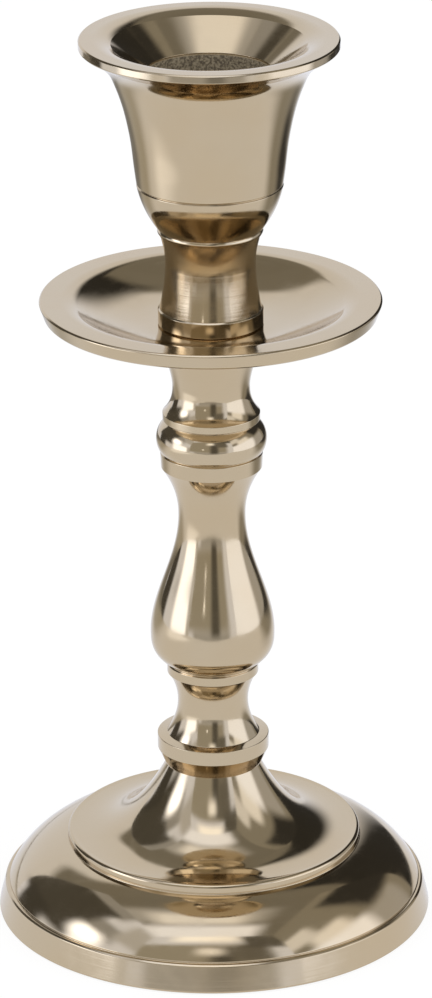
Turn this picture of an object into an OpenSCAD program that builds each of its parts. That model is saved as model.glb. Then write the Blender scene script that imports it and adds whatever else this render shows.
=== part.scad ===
// Candle holder with a turned baluster stem. A bell-shaped candle cup screws down through a
// loose drip pan into the stem, and a stud and nut hold the stem on a hollow round foot.
// +Z is up. The origin is the centre of the foot, on the surface that it stands on.

/* [Felt] */
// Width of the felt ring under the foot
felt_w = 3; // [2:0.25:4]
// Thickness of the felt ring
felt_t = 1.2; // [1:0.1:2]
// How far the felt stands out below the metal
felt_stand = 0.2; // [0.1:0.05:0.6]
// Gap beside the felt in its seat
felt_gap = 0.25; // [0.1:0.05:0.5]

/* [Foot] */
// Radius of the skirt round the foot
skirt_r = 39.7; // [38:0.1:44]
// Height of the skirt, up to its bevel
skirt_h = 4.7; // [3.5:0.1:6]
// How far the skirt leans in over its height
skirt_lean = 1.2; // [0.3:0.1:1.5]
// Bevel along the skirt's top edge
skirt_bevel = 0.3; // [0.2:0.1:0.8]
// Width of the turned groove between the skirt and the dome
groove_w = 0.5; // [0.4:0.1:1.2]
// Height of the turned groove
groove_h = 0.35; // [0.2:0.05:0.6]
// Height of the dome above the groove
dome_h = 8; // [6:0.5:10]
// How far the dome bows outwards from a straight slope
dome_rise = 1.45; // [0.6:0.05:1.8]
// Radius of the raised step inside the dome
step_r = 26.8; // [25:0.2:30]
// Height of the raised step
step_h = 1.2; // [1:0.1:2.2]
// Rounding of the step's top edge
step_round = 0.6; // [0.4:0.1:1]
// Depth of the flat just inside the step
step_sink = 0.1; // [0.05:0.05:0.5]
// Height of the cone from the flat to the stem's seat
cone_h = 13.15; // [10:0.05:18]
// Radius of the cone's top, where the stem is seated
cone_top_r = 8.5; // [7.8:0.1:9]
// Wall of the hollow foot
foot_wall = 2.4; // [1.8:0.1:3]
// Width of the flat land that carries the felt ring
land_w = 5; // [4.5:0.25:6]
// Height of the land inside the foot
land_h = 3; // [2:0.25:4]
// Thickness of the web that the foot stud passes through
web_t = 4.8; // [4:0.2:7]

/* [Stem] */
// Radius of the flange that sits on the foot
flange_r = 10.15; // [9.6:0.05:12]
// Radius of the flange's underside
flange_seat_r = 8.8; // [8.5:0.05:9.5]
// Height of the taper under the flange
flange_taper_h = 3; // [2:0.1:4]
// Height of the flange's straight band
flange_band_h = 2.6; // [1.5:0.1:4]
// Height of the ledge on top of the flange
flange_ledge_h = 0.3; // [0.2:0.1:0.8]
// Radius where the lower neck leaves the flange
low_neck_foot_r = 8.4; // [7.8:0.1:9.2]
// Smallest radius of the lower neck
low_neck_r = 6.4; // [6:0.1:7.2]
// Height of the lower neck up to its smallest radius
low_neck_down_h = 6.2; // [5:0.1:9]
// Height of the lower neck above its smallest radius
low_neck_up_h = 5.5; // [3:0.1:7]
// Radius where the lower neck meets the ring above it
low_neck_top_r = 7.95; // [7.5:0.05:8]
// Radius of the ring under the vase
ring_r = 8.3; // [8:0.05:9]
// Height of the ring
ring_h = 2.1; // [1.5:0.1:3]
// Largest radius of the vase
vase_r = 11.25; // [10:0.05:13]
// Height of the vase below its largest radius
vase_low_h = 6.2; // [5:0.1:9]
// Height of the vase above its largest radius, up to the waist
vase_high_h = 22.6; // [18:0.2:30]
// Radius of the waist
waist_r = 6.05; // [5.6:0.05:7]
// Height of the flare above the waist
waist_flare_h = 9.2; // [7:0.2:12]
// Radius of the band under the knop
band_r = 9.1; // [8.4:0.05:10]
// Height of the band
band_h = 2.95; // [1.5:0.05:3.5]
// Largest radius of the knop
knop_r = 9.9; // [9.3:0.05:11]
// Height of the knop
knop_h = 5.85; // [5:0.05:9]
// Radius of the lip above the knop
lip_r = 8.75; // [8:0.05:9.5]
// Height of the lip
lip_h = 1.5; // [1:0.1:2]
// Smallest radius of the upper neck
top_neck_r = 6.95; // [6.4:0.05:7.6]
// Height of the upper neck up to its smallest radius
top_neck_down_h = 5.2; // [4:0.1:7]
// Height of the upper neck above its smallest radius
top_neck_up_h = 8.8; // [6:0.1:11]
// Radius of the stem's top, which carries the pan
stem_top_r = 9.6; // [9:0.1:11]
// Depth and width of the fine lines turned into the stem and cup
line_cut = 0.25; // [0.1:0.05:0.4]

/* [Drip pan] */
// Radius of the pan
pan_r = 30.5; // [28:0.5:36]
// Thickness of the pan where the cup and stem clamp it
pan_t = 2.7; // [2:0.1:4]
// Depth of the dish below the rim
dish_depth = 4.7; // [4:0.1:7]
// Radius of the flat floor under the cup
dish_floor_r = 10.2; // [9.6:0.1:13]
// Width of the flat rim round the dish
rim_w = 5.3; // [4:0.1:7]
// Half the width of the soft edge between the dish and the rim
dish_round = 1.5; // [0.5:0.1:2.5]
// Thickness of the rim
rim_t = 2.85; // [2:0.1:3.4]
// How far the rim's edge leans in towards its underside
rim_lean = 0.8; // [0.3:0.1:1.2]
// Rounding of the rim's edges
rim_round = 0.3; // [0.2:0.05:0.5]

/* [Candle cup] */
// Radius of the ring at the cup's foot
cup_foot_r = 9.4; // [9.2:0.05:10]
// Height of the ring at the cup's foot
cup_foot_h = 3.1; // [2:0.1:4]
// Radius where the cup's neck meets its foot ring
cup_neck_foot_r = 9.1; // [8.6:0.05:9.15]
// Smallest radius of the cup's neck
cup_neck_r = 8.05; // [7.8:0.05:8.5]
// Radius where the cup's neck meets the bead
cup_neck_top_r = 9.05; // [8.5:0.05:9.1]
// Height of the cup's neck up to its smallest radius
cup_neck_down_h = 8.3; // [6:0.1:11]
// Height of the cup's neck above its smallest radius
cup_neck_up_h = 5.6; // [4:0.1:8]
// Radius of the bead under the bowl
bead_r = 9.4; // [9.35:0.05:10]
// Height of the bead
bead_h = 1.1; // [1:0.05:3]
// Height of the bowl, from the bead to the bell
bowl_h = 7.9; // [6:0.1:12]
// Radius of the bowl where the bell begins
bowl_r = 13; // [12.8:0.05:15]
// How far the bowl bows outwards
bowl_rise = 0.5; // [0.3:0.05:1]
// Width of the line turned between the bowl and the bell
bell_line_w = 0.4; // [0.2:0.05:0.8]
// Height of the flared bell
bell_h = 24.9; // [20:0.1:30]
// Radius of the rim round the mouth
mouth_r = 22.9; // [22:0.1:26]
// Height of the rim's edge
mouth_edge_h = 1.4; // [1.2:0.1:2.4]
// Width of the flat ring on top of the rim
mouth_flat_w = 2.3; // [1.5:0.1:3]
// Drop of the rounded lip inside the flat ring
mouth_lip_drop = 0.9; // [0.5:0.1:1.2]
// Width of the rounded lip
mouth_lip_w = 3.4; // [2:0.1:4]
// Depth of the funnel, from the lip to the candle bore
funnel_h = 5.1; // [4:0.1:7]
// Diameter of the candle that the cup holds
candle_d = 22; // [21:0.5:23]
// Gap between the candle and its bore
candle_gap = 0.2; // [0.1:0.05:0.5]
// Depth of the candle bore
bore_depth = 19.7; // [15:0.1:20]

/* [Fasteners] */
// Diameter of the studs
stud_d = 6; // [5:0.5:6.5]
// Radial play of a stud in its tapped hole
thread_play = 0.05; // [0.02:0.01:0.1]
// Radial gap where a stud passes through the pan, the foot and the washers
hole_gap = 0.3; // [0.2:0.05:0.6]
// Length of the cup stud inside the cup
cup_stud_hold = 10; // [8:0.5:14]
// Length of the cup stud inside the stem
cup_stud_reach = 8; // [6:0.5:12]
// Length of the foot stud inside the stem
foot_stud_hold = 11; // [8:0.5:14]
// Length of the foot stud beyond its nut
foot_stud_tail = 1.5; // [0.5:0.25:2]
// Empty depth past the end of a stud
hole_spare = 1.5; // [1:0.25:3]
// Radius of the wide washer
washer_r = 8.5; // [7:0.25:9]
// Thickness of the wide washer
washer_t = 1.5; // [1:0.1:2]
// Room round the wide washer inside the foot
washer_room = 0.6; // [0.3:0.1:1]
// Outer radius of the split spring washer
spring_r = 5.6; // [5:0.1:6]
// Thickness of the split spring washer
spring_t = 1.5; // [1:0.1:2]
// Width of the split
split_w = 0.8; // [0.4:0.1:1.2]
// Width of the nut across its flats
nut_flats = 10; // [9:0.5:11]
// Height of the nut
nut_h = 5; // [3:0.5:5]
// Chamfer round the nut's corners
nut_chamfer = 0.6; // [0.3:0.1:0.8]

/* [Hidden] */

$fn = 96;
// Pieces in each curve of an outline, and in each span of a smooth curve through points
curve_steps = 12;
span_steps = 4;
// Overrun of every cut past the face that it opens
over = 1;
plate_colour = [0.80, 0.73, 0.64];
steel_colour = [0.62, 0.62, 0.63];
felt_colour = [0.10, 0.16, 0.12];

// Shape of each power curve: 1 is a straight taper, and more bends later and harder
cone_power = 2.6;
low_neck_power = 2;
waist_power = 2.1;
vase_power = 3.2;
top_neck_down_power = 2.6;
top_neck_up_power = 1.5;
dish_power = 2;
pan_under_power = 1.5;
lip_power = 2;
cup_neck_power = 1.9;
// How much sooner than half way the vase narrows
vase_lean = 0.93;
// Points of the bell's flare, as shares of its widening and of its height
bell_shares = [[0, 0], [0.04, 0.12], [0.104, 0.33], [0.22, 0.55], [0.37, 0.73], [0.515, 0.85],
               [0.745, 0.94], [1, 1]];

// Heights of the seats, from the foot up
foot_z = felt_stand;
skirt_top_z = foot_z + skirt_h + skirt_bevel;
dome_z = skirt_top_z + groove_h;
step_z = dome_z + dome_h;
flat_z = step_z + step_h + step_round - step_sink;
stem_z = flat_z + cone_h;
web_z = stem_z - web_t;
flange_z = stem_z + flange_taper_h + flange_band_h;
low_neck_z = flange_z + flange_ledge_h;
ring_z = low_neck_z + low_neck_down_h + low_neck_up_h;
vase_z = ring_z + ring_h;
waist_z = vase_z + vase_low_h + vase_high_h;
band_z = waist_z + waist_flare_h;
knop_z = band_z + band_h;
lip_z = knop_z + knop_h;
top_neck_z = lip_z + lip_h;
pan_z = top_neck_z + top_neck_down_h + top_neck_up_h;
cup_z = pan_z + pan_t;
rim_z = cup_z + dish_depth;
cup_neck_z = cup_z + cup_foot_h;
cup_waist_z = cup_neck_z + cup_neck_down_h;
bead_z = cup_waist_z + cup_neck_up_h;
bowl_z = bead_z + bead_h;
bell_z = bowl_z + bowl_h;
mouth_z = bell_z + bell_h;
top_z = mouth_z + mouth_edge_h + line_cut;
bore_top_z = top_z - mouth_lip_drop - funnel_h;
bore_z = bore_top_z - bore_depth;

// Radii and heights that follow from the sizes above
dome_r = skirt_r - skirt_lean - skirt_bevel - groove_w;
felt_out_r = skirt_r - (land_w - felt_w) / 2;
felt_in_r = felt_out_r - felt_w;
dish_r = pan_r - rim_w;
dish_end_r = dish_r - dish_round;
dish_end_z = cup_z + dish_depth * pow((dish_end_r - dish_floor_r) / (dish_r - dish_floor_r), dish_power);
bore_r = candle_d / 2 + candle_gap;
stud_r = stud_d / 2;
tapped_r = stud_r + thread_play;
hole_r = stud_r + hole_gap;
lip_in_r = mouth_r - mouth_flat_w - mouth_lip_w;

// A stretch of outline from p0 to p1 that leaves p0 upright
function upright(p0, p1, power) =
    [for (i = [0:curve_steps]) let (t = i / curve_steps)
        [p0.x + (p1.x - p0.x) * pow(t, power), p0.y + (p1.y - p0.y) * t]];

// A stretch of outline from p0 to p1 that leaves p0 level
function level(p0, p1, power) =
    [for (i = [0:curve_steps]) let (t = i / curve_steps)
        [p0.x + (p1.x - p0.x) * t, p0.y + (p1.y - p0.y) * pow(t, power)]];

// An S-shaped stretch, upright at both ends
function ogee(p0, p1, lean) =
    [for (i = [0:2 * curve_steps]) let (t = i / curve_steps / 2)
        [p0.x + (p1.x - p0.x) * (1 - cos(180 * pow(t, lean))) / 2, p0.y + (p1.y - p0.y) * t]];

// A round arc from p0 to p1, bowed by rise to the right of the way it runs
function bow(p0, p1, rise) =
    let (d = p1 - p0, chord = norm(d), side = [d.y, -d.x] / chord,
         radius = (chord * chord / 4 + rise * rise) / (2 * rise),
         centre = (p0 + p1) / 2 + side * (rise - radius), half = asin(chord / 2 / radius))
    [for (i = [0:curve_steps]) let (a = half * (2 * i / curve_steps - 1))
        centre + side * radius * cos(a) + d / chord * radius * sin(a)];

// One point of a smooth curve through four neighbours
function blend_point(a, b, c, d, t) =
    (2 * b + (c - a) * t + (2 * a - 5 * b + 4 * c - d) * t * t
        + (3 * b - a - 3 * c + d) * t * t * t) / 2;

// A smooth curve from p0 to p1 through the points that shares gives
function through(p0, p1, shares) =
    let (n = len(shares) - 1,
         q = [for (s = shares) [p0.x + (p1.x - p0.x) * s.x, p0.y + (p1.y - p0.y) * s.y]])
    [for (k = [0:n - 1], i = [0:span_steps - 1])
        blend_point(q[max(k - 1, 0)], q[k], q[k + 1], q[min(k + 2, n)], i / span_steps), q[n]];

// The same points in the other order
function back(points) = [for (i = [len(points) - 1:-1:0]) points[i]];

// A solid turned from an outline that starts and ends on the axis
module turned(outline) {
    rotate_extrude() polygon(outline);
}

// A round hole of radius r from z0 up to z1
module hole(r, z0, z1) {
    translate([0, 0, z0]) cylinder(r = r, h = z1 - z0);
}

// A ring between two radii
module ring(outer_r, inner_r, z0, height) {
    translate([0, 0, z0]) difference() {
        cylinder(r = outer_r, h = height);
        translate([0, 0, -over]) cylinder(r = inner_r, h = height + 2 * over);
    }
}

// The outside of the foot, from the skirt to the stem's seat
function foot_outline() = concat(
    [[0, foot_z], [skirt_r, foot_z], [skirt_r - skirt_lean, foot_z + skirt_h],
     [skirt_r - skirt_lean - skirt_bevel, skirt_top_z], [dome_r, skirt_top_z]],
    bow([dome_r, dome_z], [step_r, step_z], dome_rise),
    bow([step_r, step_z + step_h], [step_r - step_round, step_z + step_h + step_round], step_round / 4),
    level([step_r - 2 * step_round, flat_z], [cone_top_r, stem_z], cone_power),
    [[0, stem_z]]);

// The hollow inside the foot, from the land to the web
function hollow_outline() = concat(
    [[0, foot_z - over], [skirt_r - land_w, foot_z - over], [skirt_r - land_w, foot_z + land_h]],
    bow([skirt_r - land_w, foot_z + land_h + groove_h], [step_r - foot_wall, flat_z - foot_wall],
        dome_rise),
    level([step_r - 2 * step_round - foot_wall, flat_z - foot_wall],
          [washer_r + washer_room, web_z], cone_power),
    [[0, web_z]]);

module foot() {
    color(plate_colour) difference() {
        turned(foot_outline());
        turned(hollow_outline());
        hole(hole_r, web_z - over, stem_z + over);
        // Shallow seat for the felt ring
        ring(felt_out_r + felt_gap, felt_in_r - felt_gap, foot_z - over, over + felt_t - felt_stand);
    }
}

module felt_ring() {
    color(felt_colour)
        ring(felt_out_r, felt_in_r, 0, felt_t);
}

// The stem's outside, from its flange to the top that carries the pan
function stem_outline() = concat(
    [[0, stem_z], [flange_seat_r, stem_z], [flange_r, stem_z + flange_taper_h],
     [flange_r, flange_z]],
    back(upright([low_neck_r, low_neck_z + low_neck_down_h], [low_neck_foot_r, low_neck_z], low_neck_power)),
    upright([low_neck_r, low_neck_z + low_neck_down_h], [low_neck_top_r, ring_z], low_neck_power),
    [[ring_r, ring_z + line_cut], [ring_r, vase_z - line_cut], [ring_r - line_cut, vase_z]],
    back(upright([vase_r, vase_z + vase_low_h], [ring_r, vase_z + line_cut], vase_power)),
    ogee([vase_r, vase_z + vase_low_h], [waist_r, waist_z], vase_lean),
    upright([waist_r, waist_z], [band_r, band_z], waist_power),
    [[band_r + line_cut / 2, knop_z - line_cut], [band_r - line_cut, knop_z]],
    bow([band_r + line_cut, knop_z + line_cut], [lip_r - line_cut, lip_z - line_cut],
        knop_r - (band_r + lip_r) / 2),
    [[lip_r - 2 * line_cut, lip_z], [lip_r, lip_z + line_cut], [lip_r, top_neck_z]],
    back(upright([top_neck_r, top_neck_z + top_neck_down_h], [lip_r - line_cut, top_neck_z + line_cut],
        top_neck_down_power)),
    upright([top_neck_r, top_neck_z + top_neck_down_h], [stem_top_r, pan_z], top_neck_up_power),
    [[0, pan_z]]);

module stem() {
    color(plate_colour) difference() {
        turned(stem_outline());
        hole(tapped_r, stem_z - over, stem_z + foot_stud_hold + hole_spare);
        hole(tapped_r, pan_z - cup_stud_reach - hole_spare, pan_z + over);
    }
}

module foot_stud() {
    nut_z = web_z - washer_t - spring_t - nut_h;
    color(steel_colour) hole(stud_r, nut_z - foot_stud_tail, stem_z + foot_stud_hold);
}

module foot_washer() {
    color(steel_colour) ring(washer_r, hole_r, web_z - washer_t, washer_t);
}

module spring_washer() {
    z0 = web_z - washer_t - spring_t;
    color(steel_colour) difference() {
        ring(spring_r, hole_r, z0, spring_t);
        translate([hole_r - over, -split_w / 2, z0 - over])
            cube([spring_r - hole_r + 2 * over, split_w, spring_t + 2 * over]);
    }
}

module foot_nut() {
    z0 = web_z - washer_t - spring_t - nut_h;
    corner_r = nut_flats / 2 / cos(30);
    color(steel_colour) difference() {
        intersection() {
            translate([0, 0, z0]) cylinder(r = corner_r, h = nut_h, $fn = 6);
            turned([[0, z0], [corner_r - nut_chamfer, z0], [corner_r, z0 + nut_chamfer / 2],
                    [corner_r, z0 + nut_h - nut_chamfer / 2], [corner_r - nut_chamfer, z0 + nut_h],
                    [0, z0 + nut_h]]);
        }
        hole(tapped_r, z0 - over, z0 + nut_h + over);
    }
}

// The pan's section, from the middle of its underside round the rim to its floor
function pan_outline() = concat(
    [[0, pan_z], [stem_top_r + line_cut, pan_z]],
    level([stem_top_r + line_cut, pan_z], [pan_r - rim_lean - rim_t, rim_z - rim_t], pan_under_power),
    [[pan_r - rim_lean - rim_round, rim_z - rim_t], [pan_r - rim_lean, rim_z - rim_t + rim_round],
     [pan_r, rim_z - rim_round], [pan_r - rim_round, rim_z]],
    bow([dish_r + dish_round, rim_z], [dish_end_r, dish_end_z], dish_round / 7),
    back(level([dish_floor_r, cup_z], [dish_end_r, dish_end_z], dish_power)),
    [[0, cup_z]]);

module drip_pan() {
    color(plate_colour) difference() {
        turned(pan_outline());
        hole(hole_r, pan_z - over, cup_z + over);
    }
}

// The cup's outside, from its foot ring to the rim of its mouth
function cup_outline() = concat(
    [[0, cup_z], [cup_foot_r, cup_z], [cup_foot_r, cup_neck_z - line_cut],
     [cup_foot_r - line_cut, cup_neck_z]],
    back(upright([cup_neck_r, cup_waist_z], [cup_neck_foot_r, cup_neck_z], cup_neck_power)),
    upright([cup_neck_r, cup_waist_z], [cup_neck_top_r, bead_z], cup_neck_power),
    bow([bead_r - line_cut, bead_z], [bead_r - line_cut, bowl_z], line_cut),
    bow([bead_r, bowl_z], [bowl_r, bell_z], bowl_rise),
    [[bowl_r - line_cut, bell_z + bell_line_w / 2]],
    through([bowl_r, bell_z + bell_line_w], [mouth_r - line_cut, mouth_z], bell_shares),
    [[mouth_r, mouth_z + line_cut], [mouth_r, top_z - line_cut], [mouth_r - line_cut, top_z],
     [0, top_z]]);

// The funnel inside the mouth, from the flat ring down to the candle bore
function funnel_outline() = concat(
    [[0, top_z + over], [mouth_r - mouth_flat_w, top_z + over]],
    level([mouth_r - mouth_flat_w, top_z], [lip_in_r, top_z - mouth_lip_drop], lip_power),
    [[bore_r, bore_top_z], [0, bore_top_z]]);

module candle_cup() {
    color(plate_colour) difference() {
        turned(cup_outline());
        turned(back(funnel_outline()));
        hole(bore_r, bore_z, bore_top_z + over);
        hole(tapped_r, cup_z - over, cup_z + cup_stud_hold + hole_spare);
    }
}

module cup_stud() {
    color(steel_colour) hole(stud_r, pan_z - cup_stud_reach, cup_z + cup_stud_hold);
}

foot();
felt_ring();
stem();
foot_stud();
foot_washer();
spring_washer();
foot_nut();
drip_pan();
candle_cup();
cup_stud();
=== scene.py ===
import math
from dataclasses import dataclass, replace

import bpy
from bpy.props import FloatProperty, FloatVectorProperty, IntProperty, PointerProperty
from mathutils import Matrix, Vector


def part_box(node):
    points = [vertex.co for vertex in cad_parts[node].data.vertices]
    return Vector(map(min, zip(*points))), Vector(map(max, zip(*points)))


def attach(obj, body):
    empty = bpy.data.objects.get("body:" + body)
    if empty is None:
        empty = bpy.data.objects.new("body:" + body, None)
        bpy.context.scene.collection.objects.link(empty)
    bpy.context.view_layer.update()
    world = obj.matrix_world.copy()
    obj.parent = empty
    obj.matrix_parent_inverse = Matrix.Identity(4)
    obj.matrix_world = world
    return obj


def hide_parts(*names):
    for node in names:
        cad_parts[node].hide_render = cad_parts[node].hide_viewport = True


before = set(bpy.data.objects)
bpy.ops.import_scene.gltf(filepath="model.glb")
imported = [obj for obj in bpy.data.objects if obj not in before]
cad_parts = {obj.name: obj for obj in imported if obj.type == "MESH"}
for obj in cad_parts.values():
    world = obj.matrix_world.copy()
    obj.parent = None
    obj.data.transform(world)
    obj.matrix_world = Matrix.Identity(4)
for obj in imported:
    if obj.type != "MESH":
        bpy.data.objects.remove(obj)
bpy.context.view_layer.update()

bl_info = {
    "name": "Candle Holder",
    "version": (1, 0, 0),
    "blender": (4, 5, 0),
    "location": "View3D > Sidebar > Candle Holder",
    "description": "Makes a turned metal candle holder with a bell-shaped cup, a drip pan and a hollow foot",
    "category": "Add Mesh",
}

MM = 0.001
TURN = 2 * math.pi
# A corner of an outline that turns more than this is rounded
CORNER_TURN = math.radians(10)
# Share of the shorter neighbour that a rounded corner may take
CORNER_SHARE = 0.4
# Turn of each facet of a rounded corner
CORNER_FACET = math.radians(18)
# Where the flat beside a rounded corner is held, as a share of the corner's cut
CORNER_HOLD = 1.6
# Points nearer than this are one point
SAME_POINT = 0.2e-6
# A corner that turns more than this is cut as if it turned this much
CORNER_LIMIT = math.radians(120)
# Edges that turn more than this stay sharp
SHARP_TURN = math.radians(38)
# Share of a thread's flank that is flat at its crest, and again at its root
THREAD_FLAT = 0.12
# A face looks straight down where the height of its normal is under this
STRAIGHT_DOWN = -0.9999
# How far a fibre bends sideways, as a share of half its length
FIBRE_BEND = 0.35
# Length of the shortest fibre, as a share of the longest
SHORTEST_FIBRE = 0.6

FOOT_LOW, FOOT_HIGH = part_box("foot")
FELT_LOW, FELT_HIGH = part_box("felt_ring")
PAN_LOW, PAN_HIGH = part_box("drip_pan")
CUP_LOW, CUP_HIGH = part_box("candle_cup")
CUP_STUD_LOW, CUP_STUD_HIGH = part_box("cup_stud")
FOOT_STUD_LOW, FOOT_STUD_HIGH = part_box("foot_stud")
WASHER_LOW, WASHER_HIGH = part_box("foot_washer")
SPRING_LOW, SPRING_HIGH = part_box("spring_washer")
NUT_LOW, NUT_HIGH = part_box("foot_nut")


def size(name, note, millimetres):
    """A length that a user may change."""
    return FloatProperty(name=name, description=note, default=millimetres * MM, min=0.0,
                         unit="LENGTH", subtype="DISTANCE", precision=5)


def taken(name, note, metres):
    """A length whose default is taken from the frame."""
    return size(name, note, metres / MM)


def number(name, note, default):
    """A plain number, such as the power of a curve or a roughness."""
    return FloatProperty(name=name, description=note, default=default)


def count(name, note, default):
    """A number of copies or steps."""
    return IntProperty(name=name, description=note, default=default, min=3)


def colour(name, note, default):
    """A linear colour."""
    return FloatVectorProperty(name=name, description=note, default=default, size=3,
                               subtype="COLOR", min=0.0, max=4.0)


class HolderFootSizes(bpy.types.PropertyGroup):
    """Sizes of the round foot."""
    bottom_z: taken("Bottom", "Height of the skirt's underside", FOOT_LOW.z)
    seat_z: taken("Seat height", "Height of the seat that carries the stem", FOOT_HIGH.z)
    skirt_r: taken("Skirt radius", "Radius of the skirt", FOOT_HIGH.x)
    skirt_h: size("Skirt height", "Height of the skirt, up to its bevel", 4.7)
    skirt_lean: size("Skirt lean", "How far the skirt leans in over its height", 1.2)
    skirt_bevel: size("Skirt bevel", "Bevel along the skirt's top edge", 0.3)
    groove_w: size("Groove width", "Width of the groove between skirt and dome", 0.5)
    groove_h: size("Groove height", "Height of the groove", 0.35)
    dome_h: size("Dome height", "Height of the dome above the groove", 8.0)
    dome_rise: size("Dome rise", "How far the dome bows outwards", 1.45)
    step_r: size("Step radius", "Radius of the raised step inside the dome", 26.8)
    step_h: size("Step height", "Height of the raised step", 1.2)
    step_round: size("Step rounding", "Rounding of the step's top edge", 0.6)
    step_sink: size("Step sink", "Depth of the flat just inside the step", 0.1)
    cone_top_r: size("Cone top radius", "Radius of the cone where the stem is seated", 8.5)
    cone_power: number("Cone power", "How late and hard the cone rises", 2.6)
    wall: size("Wall", "Wall of the hollow foot", 2.4)
    land_w: size("Land width", "Width of the flat land that carries the felt", 5.0)
    land_h: size("Land height", "Height of the land inside the foot", 3.0)
    web_t: size("Web thickness", "Thickness of the web that the stud passes through", 4.8)
    washer_room: size("Washer room", "Room round the wide washer", 0.6)
    felt_gap: size("Felt gap", "Gap beside the felt in its seat", 0.25)
    hole_gap: size("Hole gap", "Radial gap round a stud in a plain hole", 0.3)
    edge_round: size("Edge rounding", "Rounding of the turned edges", 0.22)
    segments: count("Segments", "Steps round the foot", 256)


class HolderStemSizes(bpy.types.PropertyGroup):
    """Sizes of the baluster stem."""
    flange_r: size("Flange radius", "Radius of the flange that sits on the foot", 10.15)
    flange_seat_r: size("Flange seat radius", "Radius of the flange's underside", 8.8)
    flange_taper_h: size("Flange taper", "Height of the taper under the flange", 3.0)
    flange_band_h: size("Flange band", "Height of the flange's straight band", 2.6)
    flange_ledge_h: size("Flange ledge", "Height of the ledge on top of the flange", 0.3)
    low_neck_foot_r: size("Lower neck foot radius", "Radius where the lower neck leaves the flange", 8.4)
    low_neck_r: size("Lower neck radius", "Smallest radius of the lower neck", 6.4)
    low_neck_down_h: size("Lower neck down", "Height of the lower neck up to its smallest radius", 6.2)
    low_neck_up_h: size("Lower neck up", "Height of the lower neck above its smallest radius", 5.5)
    low_neck_top_r: size("Lower neck top radius", "Radius where the lower neck meets the ring", 7.95)
    ring_r: size("Ring radius", "Radius of the ring under the vase", 8.3)
    ring_h: size("Ring height", "Height of the ring", 2.1)
    vase_r: size("Vase radius", "Largest radius of the vase", 11.25)
    vase_low_h: size("Vase below", "Height of the vase below its largest radius", 6.2)
    vase_high_h: size("Vase above", "Height of the vase above its largest radius", 22.6)
    waist_r: size("Waist radius", "Radius of the waist", 6.05)
    waist_flare_h: size("Waist flare", "Height of the flare above the waist", 9.2)
    band_r: size("Band radius", "Radius of the band under the knop", 9.1)
    band_h: size("Band height", "Height of the band", 2.95)
    knop_r: size("Knop radius", "Largest radius of the knop", 9.9)
    knop_h: size("Knop height", "Height of the knop", 5.85)
    lip_r: size("Lip radius", "Radius of the lip above the knop", 8.75)
    lip_h: size("Lip height", "Height of the lip", 1.5)
    top_neck_r: size("Upper neck radius", "Smallest radius of the upper neck", 6.95)
    top_neck_down_h: size("Upper neck down", "Height of the upper neck up to its smallest radius", 5.2)
    top_r: size("Top radius", "Radius of the stem's top, which carries the pan", 9.6)
    line_cut: size("Line cut", "Depth and width of the fine lines turned into stem and cup", 0.25)
    low_neck_power: number("Lower neck power", "How late and hard the lower neck curves", 2.0)
    waist_power: number("Waist power", "How late and hard the waist flares", 2.1)
    vase_power: number("Vase power", "How late and hard the vase's lower side curves", 3.2)
    vase_lean: number("Vase lean", "Under 1, the vase narrows sooner than half way", 0.93)
    neck_down_power: number("Upper neck foot power", "How hard the upper neck's foot curves", 2.6)
    neck_up_power: number("Upper neck top power", "How hard the upper neck's top curves", 1.5)
    stud_in_foot: size("Lower hole", "Depth of the lower tapped hole", 12.5)
    stud_in_pan: size("Upper hole", "Depth of the upper tapped hole", 9.5)
    edge_round: size("Edge rounding", "Rounding of the turned edges", 0.12)
    segments: count("Segments", "Steps round the stem", 180)


class HolderPanSizes(bpy.types.PropertyGroup):
    """Sizes of the drip pan."""
    under_z: taken("Underside", "Height of the underside on the stem", PAN_LOW.z)
    rim_z: taken("Rim height", "Height of the rim's top", PAN_HIGH.z)
    outer_r: taken("Radius", "Radius of the pan", PAN_HIGH.x)
    rim_w: size("Rim width", "Width of the flat rim round the dish", 5.3)
    rim_t: size("Rim thickness", "Thickness of the rim", 2.85)
    rim_lean: size("Rim lean", "How far the rim's edge leans in towards its underside", 0.8)
    rim_round: size("Rim rounding", "Rounding of the rim's edges", 0.3)
    floor_r: size("Floor radius", "Radius of the flat floor under the cup", 10.2)
    dish_round: size("Dish edge", "Half the width of the soft edge between dish and rim", 1.5)
    dish_power: number("Dish power", "How late and hard the dish rises", 2.0)
    under_power: number("Underside power", "How late and hard the underside rises", 1.5)
    edge_round: size("Edge rounding", "Rounding of the turned edges", 0.25)
    segments: count("Segments", "Steps round the pan", 256)


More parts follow.
